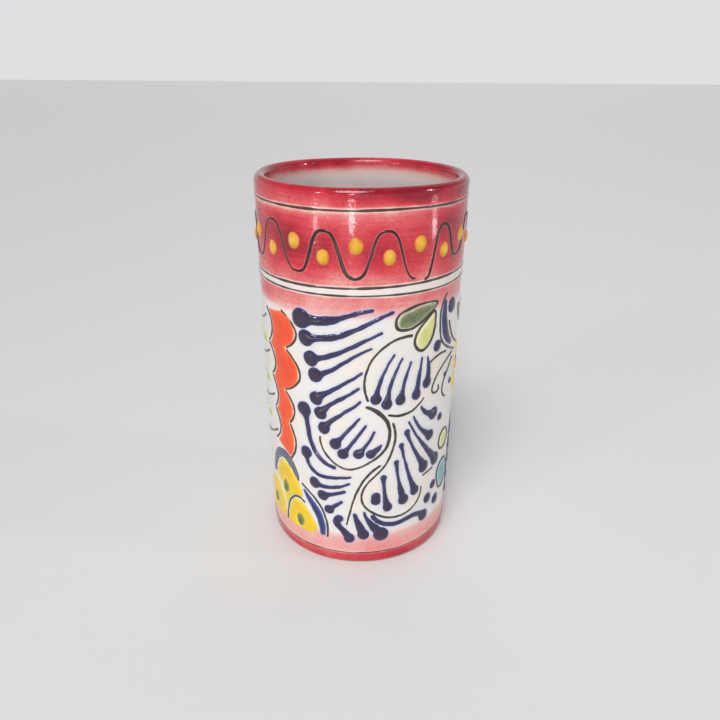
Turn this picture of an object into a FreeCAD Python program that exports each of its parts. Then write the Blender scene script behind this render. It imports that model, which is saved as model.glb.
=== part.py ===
"""A hand-painted talavera pottery vase: a slightly flared clay cylinder, its bands of glaze, and the
raised enamel work on them.

Units are millimetres. The vase stands on z = 0 with its axis on +Z, and its front faces -Y.
A place on the outside wall is written (s, z): s is the distance round the wall from the front towards
+X, taken at the mean radius, and z is the height.
"""
import FreeCAD, Part
import math
import os
import Sketcher
from FreeCAD import Vector

doc = FreeCAD.newDocument("TalaveraVase")

# ---------------------------------------------------------------- driving dimensions

SIZES = [
    ("height", 178.0, "overall height, 7 inches"),
    ("base_radius", 44.5, "outside radius at the foot"),
    ("mouth_radius", 47.2, "outside radius at the rim"),
    ("wall", 5.2, "wall with both coats of glaze"),
    ("floor_top", 9.0, "height of the inside floor"),
    ("glaze", 0.5, "thickness of each coat of glaze"),
    ("lip_round", 2.5, "rounding of each side of the rim"),
    ("floor_round", 6.0, "rounding of the inside corner"),
    ("foot_round", 1.2, "rounding of the bare clay under the foot"),
    ("foot_recess", 1.2, "height of the hollow under the floor"),
    ("foot_width", 7.0, "width of the ring that the vase stands on"),
    ("glaze_bottom", 1.4, "where the outside glaze begins"),
    ("foot_band_top", 6.6, "top of the red band at the foot"),
    ("lower_pink_top", 17.2, "top of the lower pink band"),
    ("panel_top", 127.5, "top of the white panel"),
    ("upper_pink_top", 135.5, "top of the upper pink band"),
    ("stripe_top", 139.0, "top of the cream stripe"),
    ("red_band_top", 169.8, "top of the red band"),
    ("inside_top", 173.0, "where the inside glaze meets the red of the rim"),
    ("split_radius", 43.2, "a radius inside the clay wall at every height"),
    ("ring_line_width", 0.9, "width of a line turned on the wheel"),
    ("ring_line_rise", 0.2, "how far a turned line stands off the glaze"),
    ("line_rise", 0.3, "how far a drawn line stands off the glaze"),
    ("enamel_rise", 0.5, "how far a filled patch of enamel stands off the glaze"),
    ("stroke_rise", 0.8, "how far a trailed cobalt stroke stands off the glaze"),
    ("dot_rise", 1.1, "how far a yellow dot stands off the glaze"),
]

sheet = doc.addObject("Spreadsheet::Sheet", "Sizes")
for row, (alias, value, meaning) in enumerate(SIZES, start=1):
    sheet.set(f"A{row}", meaning)
    sheet.set(f"B{row}", str(value))
    sheet.setAlias(f"B{row}", alias)
doc.recompute()


def size(expression):
    """The value of an expression over the sheet's aliases."""
    return float(sheet.evalExpression(expression))


def outer(z, inset="0"):
    """Expression for the outside radius at the height expression z, less an inset expression."""
    flare = "(Sizes.mouth_radius - Sizes.base_radius) / Sizes.height"
    return f"Sizes.base_radius + {flare} * ({z}) - ({inset})"


BASE_RADIUS = size("Sizes.base_radius")
MOUTH_RADIUS = size("Sizes.mouth_radius")
HEIGHT = size("Sizes.height")
MEAN_RADIUS = (BASE_RADIUS + MOUTH_RADIUS) / 2
HALF_WAY_ROUND = math.pi * MEAN_RADIUS

pieces = []


# ---------------------------------------------------------------- turned shapes


def turned_body(label, corners):
    """A PartDesign body: a polygon of (x, z) expressions turned about Z. None puts a corner on an axis."""
    body = doc.addObject("PartDesign::Body", label)
    sketch = body.newObject("Sketcher::SketchObject", label + "_profile")
    plane = next(f for f in body.Origin.OriginFeatures if f.Role == "XZ_Plane")
    sketch.AttachmentSupport = [(plane, "")]
    sketch.MapMode = "FlatFace"
    points = [Vector(size(x) if x else 0, size(z) if z else 0, 0) for x, z in corners]
    count = len(points)
    for index in range(count):
        sketch.addGeometry(Part.LineSegment(points[index], points[(index + 1) % count]), False)
    for index in range(count):
        sketch.addConstraint(Sketcher.Constraint("Coincident", index, 2, (index + 1) % count, 1))
    for index, (x, z) in enumerate(corners):
        place = points[index]
        for name, value, expression, axis in (("DistanceX", place.x, x, -2), ("DistanceY", place.y, z, -1)):
            if expression is None:
                sketch.addConstraint(Sketcher.Constraint("PointOnObject", index, 1, axis))
            else:
                number = sketch.addConstraint(Sketcher.Constraint(name, -1, 1, index, 1, value))
                sketch.setExpression(f"Constraints[{number}]", expression)
    turn = body.newObject("PartDesign::Revolution", label + "_turned")
    turn.Profile = sketch
    turn.ReferenceAxis = (sketch, ["V_Axis"])
    turn.Angle = 360.0
    doc.recompute()
    return body


def round_edges(body, label, radius, places):
    """Fillet the body's circular edges that lie at the given (radius, z) expressions."""
    base = body.Tip
    names = []
    for number, edge in enumerate(base.Shape.Edges, start=1):
        if not isinstance(edge.Curve, Part.Circle):
            continue
        for x, z in places:
            off = abs(edge.Curve.Radius - size(x)) + abs(edge.Curve.Center.z - (size(z) if z else 0))
            if off < 0.01:
                names.append(f"Edge{number}")
    fillet = body.newObject("PartDesign::Fillet", label)
    fillet.Base = (base, names)
    fillet.setExpression("Radius", radius)
    body.Tip = fillet
    doc.recompute()


def pot(label, bottom, skin, hollow):
    """The vase's form set in by the expression skin, standing on bottom, its underside hollowed or not."""
    top = f"Sizes.height - {skin}"
    inside = f"Sizes.wall - {skin}"
    floor = f"Sizes.floor_top - {skin}"
    mouth = (outer("Sizes.height", inside), top)
    well = (outer("Sizes.floor_top", inside), floor)
    heel = (outer("0", skin) if bottom is None else outer(bottom, skin), bottom)
    rim = (outer("Sizes.height", skin), top)
    if hollow:
        ring = outer("0", "Sizes.foot_width")
        under = [(None, "Sizes.foot_recess"), (ring, "Sizes.foot_recess"), (ring, bottom)]
    else:
        under = [(None, bottom)]
    body = turned_body(label, under + [heel, rim, mouth, well, (None, floor)])
    round_edges(body, label + "_rim", f"Sizes.lip_round - {skin}", [rim, mouth])
    round_edges(body, label + "_well", f"Sizes.floor_round + {skin}", [well])
    if hollow:
        round_edges(body, label + "_foot", "Sizes.foot_round", [heel])
    return body


def tube(label, radius, inner, bottom, top):
    """A plain cylinder, or a tube where inner is given, between two height expressions."""
    solid = doc.addObject("Part::Cylinder", label)
    solid.setExpression("Radius", radius)
    solid.setExpression("Height", f"({top}) - ({bottom})")
    solid.setExpression(".Placement.Base.z", bottom)
    if inner is None:
        return solid
    core = tube(label + "_core", inner, None, bottom, top)
    return boolean("Part::Cut", label + "_ring", solid, core)


def boolean(kind, label, base, tool):
    """A Part boolean of two objects."""
    result = doc.addObject(kind, label)
    result.Base = base
    result.Tool = tool
    return result


clay_body = pot("clay_body", None, "Sizes.glaze", True)
pieces.append(clay_body)
glazed_form = pot("glazed_form", "Sizes.glaze_bottom", "0", False)
coat = boolean("Part::Cut", "coat", glazed_form, clay_body)

BEYOND = "Sizes.mouth_radius + 10"
OUTSIDE_BANDS = [
    ("foot_band", "Sizes.glaze_bottom", "Sizes.foot_band_top"),
    ("lower_pink_band", "Sizes.foot_band_top", "Sizes.lower_pink_top"),
    ("white_panel", "Sizes.lower_pink_top", "Sizes.panel_top"),
    ("upper_pink_band", "Sizes.panel_top", "Sizes.upper_pink_top"),
    ("cream_stripe", "Sizes.upper_pink_top", "Sizes.stripe_top"),
    ("red_band", "Sizes.stripe_top", "Sizes.red_band_top"),
]
for band, bottom, top in OUTSIDE_BANDS:
    slice_of_coat = tube(band + "_zone", BEYOND, "Sizes.split_radius", bottom, top)
    pieces.append(boolean("Part::Common", band, coat, slice_of_coat))

inside_zone = tube("inside_zone", "Sizes.split_radius", None, "Sizes.foot_recess", "Sizes.inside_top")
pieces.append(boolean("Part::Common", "inside_glaze", coat, inside_zone))
above_bands = tube("above_bands", BEYOND, None, "Sizes.red_band_top", "Sizes.height + 10")
below_rim = tube("below_rim", "Sizes.split_radius", None, "Sizes.red_band_top - 10", "Sizes.inside_top")
lip_zone = boolean("Part::Cut", "lip_zone", above_bands, below_rim)
pieces.append(boolean("Part::Common", "lip_glaze", coat, lip_zone))

RING_LINES = [
    ("foot_line", "Sizes.foot_band_top"),
    ("line_below_stripe", "Sizes.upper_pink_top"),
    ("line_above_stripe", "Sizes.stripe_top"),
    ("line_under_lip", "Sizes.red_band_top"),
]
for line, level in RING_LINES:
    low = f"{level} - Sizes.ring_line_width / 2"
    high = f"{level} + Sizes.ring_line_width / 2"
    rise = "-Sizes.ring_line_rise"
    corners = [(outer(low), low), (outer(low, rise), low), (outer(high, rise), high), (outer(high), high)]
    pieces.append(turned_body(line, corners))


# ---------------------------------------------------------------- shapes drawn on the wall


def wall_point(s, z, middle):
    """The place (s, z) as seen square on to the wall at s = middle, on a drawing plane inside the pot."""
    radius = BASE_RADIUS + (MOUTH_RADIUS - BASE_RADIUS) * z / HEIGHT
    return Vector(radius * math.sin((s - middle) / MEAN_RADIUS), -BASE_RADIUS / 4, z)


def wall_skin(rise):
    """The layer of the given thickness that lies on the outside wall."""
    steepness = (MOUTH_RADIUS - BASE_RADIUS) / HEIGHT
    grown = rise * math.sqrt(1 + steepness ** 2)
    outside = Part.makeCone(BASE_RADIUS + grown, MOUTH_RADIUS + grown, HEIGHT)
    return outside.cut(Part.makeCone(BASE_RADIUS, MOUTH_RADIUS, HEIGHT))


def span_edge(points):
    """One stretch of an outline: two points are a line, three an arc, more a smooth curve."""
    if len(points) == 2:
        return Part.LineSegment(*points).toShape()
    if len(points) == 3:
        return Part.Arc(*points).toShape()
    curve = Part.BSplineCurve()
    curve.interpolate(points)
    return curve.toShape()


def loop_edge(points):
    """A smooth closed curve through the points."""
    curve = Part.BSplineCurve()
    curve.interpolate(Points=points, PeriodicFlag=True)
    return curve.toShape()


def raised(spans, skin, closed=False, inset=0.0):
    """The part of a skin inside an outline of (s, z) spans, or inside one smooth closed loop of points.

    The outline is drawn in by the inset all round.
    """
    places = [place for span in spans for place in span]
    middle = (min(s for s, z in places) + max(s for s, z in places)) / 2
    drawn = [[wall_point(s, z, middle) for s, z in span] for span in spans]
    if closed:
        wire = Part.Wire(loop_edge(drawn[0]))
    else:
        wire = Part.Wire([span_edge(span) for span in drawn])
    face = Part.Face(wire)
    if inset:
        face = face.makeOffset2D(-inset)
    block = face.extrude(Vector(0, -BASE_RADIUS, 0))
    solid = block.common(skin).Solids[0]
    solid.rotate(Vector(0, 0, 0), Vector(0, 0, 1), math.degrees(middle / MEAN_RADIUS))
    return solid


def stroke(points, skin):
    """A brush stroke: (s, z, half width) places along its middle, rounded at both ends.

    An end that is clearly wider than the place next to it is a round head.
    """
    middle = Part.BSplineCurve()
    middle.interpolate([Vector(s, z, 0) for s, z, half in points])
    first = middle.FirstParameter
    marks = [0.0]
    for s, z, half in points[1:]:
        marks.append(middle.length(first, middle.parameter(Vector(s, z, 0))))
    halves = [place[2] for place in points]
    heads = []
    for end, beside in ((0, 1), (-1, -2)):
        if points[end][2] > HEAD_EXCESS * points[beside][2]:
            heads.append((marks[end], points[end][2]))
            halves[end] = HEAD_NECK * points[end][2]
    left, right = [], []
    for distance in width_places(marks[-1], heads):
        at = middle.parameterAtDistance(distance, first)
        half = width_at(distance, marks, halves, heads)
        place = middle.value(at)
        along = middle.tangent(at)[0]
        across = Vector(-along.y, along.x, 0) * half
        left.append(place + across)
        right.append(place - across)
        if distance == 0.0:
            start = place - along * half
        finish = place + along * half
    spans = [left, [left[-1], finish, right[-1]], right[::-1], [right[0], start, left[0]]]
    return raised([[(place.x, place.y) for place in span] for span in spans], skin)


def width_places(length, heads):
    """Distances along a stroke at which its width is worked out, closest together round its heads."""
    steps = max(STROKE_FEWEST, round(length / STROKE_STEP))
    places = {0.0, length}
    for step in range(1, steps):
        place = length * step / steps
        if all(abs(place - where) > HEAD_REACH * radius for where, radius in heads):
            places.add(place)
    for where, radius in heads:
        for share in HEAD_SHARES:
            place = abs(where - share * radius)
            if place < length:
                places.add(place)
    ordered = sorted(places)
    return [0.0] + [b for a, b in zip(ordered, ordered[1:]) if b - a > STROKE_CLOSEST or b == length]


def width_at(distance, marks, halves, heads):
    """The half width at a distance: eased from each given place to the next, and swelling at the heads."""
    after = 1
    while after < len(marks) - 1 and distance > marks[after]:
        after += 1
    share = (distance - marks[after - 1]) / (marks[after] - marks[after - 1])
    eased = share * share * (3 - 2 * share)
    half = halves[after - 1] + (halves[after] - halves[after - 1]) * eased
    for where, radius in heads:
        ball = math.sqrt(max(radius ** 2 - (distance - where) ** 2, 0.0))
        half = (half ** HEAD_BLEND + ball ** HEAD_BLEND) ** (1 / HEAD_BLEND)
    return half


def line(points, half, skin):
    """A drawn line of even width through (s, z) places."""
    return stroke([(s, z, half) for s, z in points], skin)


def oval(s, z, across, up, skin):
    """An oval dot with the given half sizes."""
    turn = [math.radians(45 * step) for step in range(8)]
    return raised([[(s + across * math.cos(a), z + up * math.sin(a)) for a in turn]], skin, closed=True)


def mirrored(shape, about):
    """The same drawing places reflected left to right about s = about."""
    return [(2 * about - place[0],) + tuple(place[1:]) for place in shape]


def group(label, solids):
    """One piece made of several separate raised solids."""
    feature = doc.addObject("Part::Feature", label)
    feature.Shape = Part.makeCompound(solids)
    pieces.append(feature)


LINE_SKIN = wall_skin(size("Sizes.line_rise"))
ENAMEL_SKIN = wall_skin(size("Sizes.enamel_rise"))
STROKE_SKIN = wall_skin(size("Sizes.stroke_rise"))
DOT_SKIN = wall_skin(size("Sizes.dot_rise"))

# Widths of drawn lines and of the glaze left bare between a line and the patch of enamel inside it.
HALF_LINE = 0.5
RIM_GAP = 0.8
LEAF_RIM = 1.25
LEAF_GAP = 0.25

# How closely the width of a stroke is worked out along it.
STROKE_STEP = 3.5
STROKE_CLOSEST = 0.175
STROKE_FEWEST = 6

# A head is an end this much wider than the place next to it. The stroke meets it at a share of its width,
# and the two are blended; the shares and reach of its half width are where the blend is worked out.
HEAD_EXCESS = 1.25
HEAD_NECK = 0.72
HEAD_BLEND = 4
HEAD_SHARES = (0.4, 0.7, 0.9, 1.1, 1.4, 1.8)
HEAD_REACH = 2.2

# The wave on the red band: one crest every 26 mm, drawn in strokes that end in the troughs.
WAVE_CRESTS = 11
WAVE_PITCH = 2 * HALF_WAY_ROUND / WAVE_CRESTS
WAVE_LOW, WAVE_HIGH = 144.0, 161.6
WAVE_START = -28.0
WAVE_STEPS = 8
DOTS_UNDER_CRESTS = (150.9, 2.8, 3.3)
DOTS_OVER_TROUGHS = (156.2, 3.0, 3.5)

# No two crests or dots are quite as high: (most, turn from one to the next, first turn).
WAVE_UNEVEN = (1.2, 2.4, 0.6)
DOTS_UNEVEN = (0.8, 3.0, 0.0)


def uneven(number, unevenness):
    """How much higher one of a row of shapes is than the row."""
    most, turn, first = unevenness
    return most * math.sin(turn * number + first)


def wave_crest(number):
    """One crest of the wave, from trough to trough, a little uneven as a hand draws it."""
    start = WAVE_START + number * WAVE_PITCH
    reach = WAVE_PITCH - 2 * HALF_LINE
    rise = WAVE_HIGH + uneven(number, WAVE_UNEVEN) - WAVE_LOW
    places = []
    for step in range(WAVE_STEPS + 1):
        share = step / WAVE_STEPS
        height = WAVE_LOW + rise * (1 - math.cos(2 * math.pi * share)) / 2
        places.append((start + HALF_LINE + reach * share, height))
    return places


group("wave_line", [line(wave_crest(number), HALF_LINE, LINE_SKIN) for number in range(WAVE_CRESTS)])

# Yellow dots sit alternately under the crests and over the troughs, as (height, half width, half height).
yellow_dots = []
for number in range(2 * WAVE_CRESTS):
    level, across, up = DOTS_UNDER_CRESTS if number % 2 else DOTS_OVER_TROUGHS
    place = WAVE_START + number * WAVE_PITCH / 2
    yellow_dots.append(oval(place, level + uneven(number, DOTS_UNEVEN), across, up, DOT_SKIN))
group("yellow_dots", yellow_dots)

# The drawing is the same to the left and right of the tall flower, and of the blossom opposite it.
FLOWER_MIDDLE = -72.0

# Cobalt feathers: each is trailed from a round head to a thin tail, as (s, z, half width) places.
FEATHER_PANEL = {
    "long_feathers": [
        [(-26.4, 123.5, 4.3), (-19.2, 123.7, 2.1), (-12.6, 124.5, 1.9), (-7.1, 126.2, 1.0),
         (5.0, 129.5, 0.8)],
        [(-24.1, 115.1, 3.6), (-18.4, 115.9, 1.4), (-13.0, 116.8, 1.5), (1.1, 122.5, 0.9),
         (13.6, 128.2, 0.7)],
        [(-21.9, 106.1, 3.4), (-16.5, 107.3, 1.2), (-4.0, 112.9, 0.9), (9.1, 119.4, 0.6)],
        [(-20.0, 98.7, 3.3), (-14.9, 100.6, 1.1), (-8.7, 104.5, 0.8), (5.0, 112.5, 0.5)],
        [(-19.8, 87.5, 3.1), (-14.1, 91.3, 1.1), (-8.7, 94.8, 0.8), (0.9, 101.5, 0.6)],
        [(-17.8, 80.5, 2.9), (-13.3, 85.2, 1.0), (-6.7, 89.7, 0.8), (-0.3, 94.2, 0.6)],
        [(-16.3, 73.3, 2.8), (-12.9, 77.2, 1.1), (-8.7, 80.7, 0.8), (0.3, 87.7, 0.6)],
    ],
    "inner_feathers": [
        [(-11.0, 66.0, 2.6), (-7.6, 70.2, 0.9), (0.0, 79.5, 0.6)],
        [(-7.5, 61.2, 2.5), (-5.0, 64.6, 0.9), (2.9, 76.1, 0.6)],
        [(-0.4, 61.6, 2.4), (2.5, 65.2, 0.8), (6.6, 72.6, 0.6)],
        [(5.2, 61.5, 2.2), (8.4, 64.0, 1.3), (10.0, 65.8, 0.4)],
    ],
    "left_feathers": [
        [(-26.2, 80.5, 3.5), (-24.8, 74.5, 1.3), (-22.5, 63.5, 1.2), (-18.5, 57.2, 1.1), (-11.4, 53.4, 0.9)],
        [(-26.0, 58.2, 3.0), (-25.1, 53.2, 1.1), (-21.6, 48.9, 1.0), (-16.8, 47.6, 0.9), (-3.9, 49.0, 0.6)],
        [(-21.8, 43.0, 2.8), (-17.2, 42.2, 1.0), (-4.5, 45.5, 0.6)],
        [(-17.7, 37.0, 2.6), (-13.2, 38.5, 1.0), (-6.8, 40.7, 0.8)],
        [(-14.5, 29.9, 2.3), (-11.6, 32.2, 1.0), (-8.3, 34.9, 0.8)],
        [(-9.6, 25.6, 2.1), (-10.6, 22.4, 1.7), (-8.6, 20.0, 1.6), (-6.3, 17.4, 1.9), (-4.6, 14.6, 2.5)],
        [(2.3, 17.0, 2.7), (0.6, 21.0, 2.0), (-2.0, 28.4, 0.9)],
        [(10.9, 16.5, 3.6), (8.0, 20.2, 2.2), (4.8, 24.3, 1.2), (2.5, 29.7, 0.5)],
    ],
    "lower_feathers": [
        [(7.9, 38.4, 2.2), (7.9, 35.8, 2.3)],
        [(11.4, 48.2, 1.5), (11.8, 41.7, 0.8), (13.7, 31.6, 2.3)],
        [(17.4, 55.4, 1.3), (18.5, 47.4, 0.7), (21.9, 34.0, 2.7)],
        [(19.5, 63.8, 1.3), (21.2, 57.1, 0.6), (24.0, 47.9, 0.9), (28.3, 36.9, 2.5)],
        [(22.1, 70.1, 1.5), (24.5, 63.8, 0.7), (28.4, 56.6, 1.0), (33.3, 48.2, 3.0)],
        [(22.8, 75.1, 0.5), (27.9, 66.3, 0.6), (34.4, 57.6, 1.3), (42.0, 48.8, 3.2)],
        [(25.2, 77.3, 0.5), (29.2, 70.5, 0.8), (36.2, 64.2, 2.6)],
        [(29.3, 80.9, 0.6), (32.4, 77.4, 1.2), (38.0, 74.9, 3.0)],
        [(6.4, 27.4, 1.1), (12.5, 22.2, 1.2), (19.2, 21.3, 1.3), (29.8, 22.6, 1.4), (35.3, 19.4, 3.0)],
    ],
    "upper_feathers": [
        [(7.0, 88.9, 2.4), (8.0, 94.4, 0.9), (11.0, 102.8, 0.6), (14.6, 109.0, 0.5)],
        [(11.9, 86.0, 2.4), (12.8, 92.4, 0.9), (18.4, 106.9, 0.5)],
        [(18.2, 87.2, 2.4), (19.3, 93.4, 0.9), (22.6, 104.5, 0.5)],
        [(26.2, 88.1, 2.4), (26.9, 94.0, 1.2), (28.3, 105.3, 0.5)],
        [(32.0, 92.4, 2.5), (32.6, 98.3, 1.3), (31.4, 104.9, 0.5)],
    ],
}
COBALT_DOTS = [
    (37.5, 108.4, 2.7), (43.6, 70.9, 2.0), (41.8, 34.4, 2.5), (44.7, 24.4, 2.9), (37.5, 28.4, 2.8),
    (45.9, 91.6, 1.4), (52.3, 86.2, 1.6),
]

# Vine: five drawn strokes that curl round the feathers, as (s, z, half width), and the leaves by them.
VINE = [
    [(22.3, 116.8, 0.6), (12.9, 114.9, 0.5), (5.1, 107.6, 0.4), (2.0, 98.5, 0.45), (3.4, 88.4, 0.5)],
    [(12.9, 80.5, 0.5), (18.3, 79.5, 0.6), (24.6, 80.8, 0.5), (30.5, 85.2, 0.4)],
    [(3.1, 85.2, 0.6), (7.8, 82.7, 1.0), (12.0, 77.9, 0.8), (13.8, 70.4, 0.7), (11.3, 62.6, 0.65),
     (4.5, 56.9, 0.45), (-4.7, 53.2, 0.4), (-14.3, 58.4, 0.45), (-18.3, 68.6, 0.4)],
    [(15.0, 76.2, 0.45), (16.4, 70.0, 0.55), (14.4, 59.9, 0.5), (10.6, 53.0, 0.45), (4.3, 46.5, 0.4),
     (1.2, 36.2, 0.45), (8.0, 28.4, 0.55), (20.7, 25.2, 0.5), (29.6, 29.4, 0.45), (32.3, 37.6, 0.35)],
    [(9.5, 54.9, 0.55), (1.2, 45.9, 0.5), (-3.6, 32.6, 0.4), (-5.9, 22.4, 0.35)],
]
DARK_LEAF = [(35.5, 129.9), (27.3, 130.6), (19.5, 129.1), (14.6, 125.6), (15.0, 120.5), (20.3, 119.2),
             (28.5, 122.5)]
LIME_LEAF = [(34.0, 125.9), (27.3, 121.3), (23.4, 115.0), (24.2, 110.4), (28.2, 108.2), (33.2, 111.8),
             (35.3, 118.2)]
SIDE_LEAF = [(44.0, 58.8), (47.0, 62.0), (52.4, 61.6), (55.0, 57.2), (52.6, 51.6), (47.0, 51.2)]
ROUND_LEAF = [(45.0, 42.0), (50.4, 45.0), (56.4, 42.4), (58.0, 35.6), (54.4, 28.6), (48.6, 28.2),
              (45.0, 34.4)]

# Blossom: a blue sepal that curls over a round bud, pale petals drawn in line below it, and in the middle an
# open flower on a stem, with a fern of short feathers.
BLOSSOM_MIDDLE = FLOWER_MIDDLE + HALF_WAY_ROUND
HEART_LEVEL = 88.0
HEART_RADIUS = 5.5
PETAL_COUNT = 10
PETAL = [(7.6, 1.2), (11.0, 2.0), (14.6, 2.5)]
STEMS = [
    [(BLOSSOM_MIDDLE, 115.6), (BLOSSOM_MIDDLE + 0.5, 112.0), (BLOSSOM_MIDDLE, 107.6)],
    [(BLOSSOM_MIDDLE, 68.4), (BLOSSOM_MIDDLE - 0.8, 44.0), (BLOSSOM_MIDDLE, 21.0)],
]
TOP_LEAF = [(BLOSSOM_MIDDLE - 2.4, 110.2), (BLOSSOM_MIDDLE - 8.0, 112.0), (BLOSSOM_MIDDLE - 14.0, 117.0),
            (BLOSSOM_MIDDLE - 15.6, 122.0), (BLOSSOM_MIDDLE - 10.0, 121.4), (BLOSSOM_MIDDLE - 4.4, 116.6)]
TOP_BUD = (BLOSSOM_MIDDLE, 119.6, 3.4)
FERN_PAIRS = 5
FERN_TOP = 58.0
FERN_PITCH = 8.6
FERN_LEAFLET = [(-9.4, -4.0, 2.1), (-6.6, -0.6, 0.9), (-2.4, 3.6, 0.5)]
SEPAL = [(41.4, 127.4, 1.5), (41.5, 119.6, 2.3), (43.8, 112.2, 2.4), (48.4, 107.2, 1.5)]
SEPAL_BUD = (47.6, 124.6, 3.6)
BLOSSOM_LINES = [
    [(42.2, 131.4), (38.4, 124.5), (38.4, 117.0), (40.5, 110.0), (45.6, 105.6), (54.7, 101.4)],
    [(45.9, 117.6), (48.4, 112.2), (52.4, 107.4), (58.8, 103.6)],
    [(33.6, 101.9), (39.0, 103.8), (44.6, 103.7)],
    [(51.6, 100.9), (42.2, 97.1), (36.7, 91.0), (35.9, 86.4), (38.3, 85.2), (40.2, 88.5)],
    [(52.2, 98.4), (47.3, 92.6), (43.6, 85.6), (46.9, 80.2)],
    [(33.2, 43.4), (39.9, 44.6)],
]

# Flower: a tall field of lattice and seeds, with a scalloped border of orange petals down each side.
OUTER_SCALLOPS = [(-37.4, 124.9), (-28.9, 114.6), (-35.0, 107.3), (-27.6, 96.0), (-37.0, 86.3),
                  (-32.0, 77.8), (-35.0, 70.1), (-32.0, 60.0), (-35.4, 50.9)]
INNER_SCALLOPS = [(-50.6, 122.9), (-46.0, 114.2), (-49.5, 106.3), (-44.4, 97.4), (-48.2, 90.5),
                  (-43.9, 81.4), (-46.9, 74.1), (-43.0, 64.6), (-47.9, 56.9)]
LATTICE = [
    [(-50.6, 101.2), (-62.0, 96.4), (-72.0, 94.6)],
    [(-48.2, 80.0), (-60.0, 75.0), (-72.0, 73.0)],
    [(-46.6, 61.9), (-60.0, 55.6), (-72.0, 53.6)],
    [(-53.0, 118.0), (-62.0, 113.6), (-72.0, 112.0)],
]
NOTCH_GAP = HALF_LINE + 0.1
SEED_ROWS = (106.0, 86.0, 67.5)
SEED_COLUMNS = (-66.5, -55.5)
SEED_ACROSS, SEED_UP = 3.4, 2.4

# Scales: yellow petals with green eyes, a grey-blue border over them and a blue crescent beside them.
SCALES = [
    [(-45.0, 46.2), (-40.4, 47.0), (-36.2, 44.8), (-32.4, 40.4), (-30.1, 36.0), (-29.3, 32.0), (-36.0, 30.6),
     (-41.2, 22.6), (-42.8, 27.2), (-47.0, 33.6), (-50.2, 37.0), (-48.6, 42.4)],
    [(-40.3, 14.4), (-39.0, 21.6), (-37.0, 26.2), (-34.0, 29.2), (-30.4, 28.8), (-26.5, 26.1), (-23.2, 22.0),
     (-21.2, 17.6), (-22.6, 14.0), (-32.0, 13.4)],
    [(-63.4, 20.0), (-61.0, 26.6), (-56.5, 31.0), (-51.4, 32.4), (-47.6, 29.6), (-43.8, 24.4), (-42.2, 19.0),
     (-43.6, 14.2), (-52.0, 12.8), (-61.8, 14.0)],
]
MIDDLE_SCALE = [(-79.2, 15.4), (-77.4, 22.0), (-72.0, 26.4), (-66.6, 22.0), (-64.8, 15.4), (-72.0, 13.2)]
EYES = [(-41.4, 32.8), (-31.2, 18.2), (-53.2, 20.4)]
MIDDLE_EYE = (FLOWER_MIDDLE, 19.2)
EYE_ACROSS, EYE_UP = 2.5, 3.6
SCALE_BORDER = [(-53.4, 37.0, 1.5), (-51.2, 44.0, 2.1), (-46.4, 49.4, 2.4), (-41.0, 50.8, 2.5),
                (-36.6, 48.6, 2.4), (-33.8, 45.2, 1.8), (-31.6, 40.8, 0.8)]
CRESCENT = [(-28.2, 36.4, 0.7), (-25.2, 32.8, 1.6), (-21.6, 28.2, 2.1), (-18.9, 22.4, 2.0),
            (-18.0, 15.4, 1.6)]
SCALE_LINES = [
    [(-41.4, 14.2), (-40.4, 20.6), (-37.9, 26.9), (-33.2, 30.8), (-28.2, 29.6)],
    [(-29.4, 39.6), (-23.3, 35.4), (-18.9, 30.4), (-16.3, 24.6), (-15.3, 18.4), (-15.6, 13.8)],
]


def without(solid, others):
    """A solid with the others cut from it where they meet."""
    for other in others:
        if solid.BoundBox.intersect(other.BoundBox):
            left = solid.cut(other)
            solid = max(left.Solids, key=lambda part: part.BoundBox.DiagonalLength)
    return solid


def both_sides(shapes, about):
    """The shapes, and their reflections about s = about."""
    return shapes + [mirrored(shape, about) for shape in shapes]


def shrunk(points, inset):
    """A closed outline drawn in towards its own middle by about the inset."""
    middle_s = sum(s for s, z in points) / len(points)
    middle_z = sum(z for s, z in points) / len(points)
    result = []
    for s, z in points:
        keep = 1 - inset / math.hypot(s - middle_s, z - middle_z)
        result.append((middle_s + (s - middle_s) * keep, middle_z + (z - middle_z) * keep))
    return result


# The drawn lines come first, and what is trailed between them stops where they are.
vine_lines = [stroke(points, LINE_SKIN) for points in both_sides(VINE, BLOSSOM_MIDDLE)]
group("vine_lines", vine_lines)

blossom_lines = []
for points in both_sides(BLOSSOM_LINES, BLOSSOM_MIDDLE):
    blossom_lines.append(line(points, HALF_LINE, LINE_SKIN))
for points in STEMS:
    blossom_lines.append(line(points, HALF_LINE, LINE_SKIN))
group("blossom_lines", blossom_lines)
drawn_lines = vine_lines + blossom_lines

for label, strokes in FEATHER_PANEL.items():
    made = [stroke(points, STROKE_SKIN) for points in both_sides(strokes, BLOSSOM_MIDDLE)]
    group(label, [without(solid, drawn_lines) for solid in made])

fern = []
for pair in range(FERN_PAIRS):
    level = FERN_TOP - pair * FERN_PITCH
    leaflet = [(BLOSSOM_MIDDLE + s, level + z, half) for s, z, half in FERN_LEAFLET]
    fern += [stroke(points, STROKE_SKIN) for points in both_sides([leaflet], BLOSSOM_MIDDLE)]
group("fern_feathers", fern)

cobalt_dots = []
for s, z, radius in COBALT_DOTS + mirrored(COBALT_DOTS, BLOSSOM_MIDDLE):
    cobalt_dots.append(without(oval(s, z, radius, radius, STROKE_SKIN), drawn_lines))
group("cobalt_dots", cobalt_dots)

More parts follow.
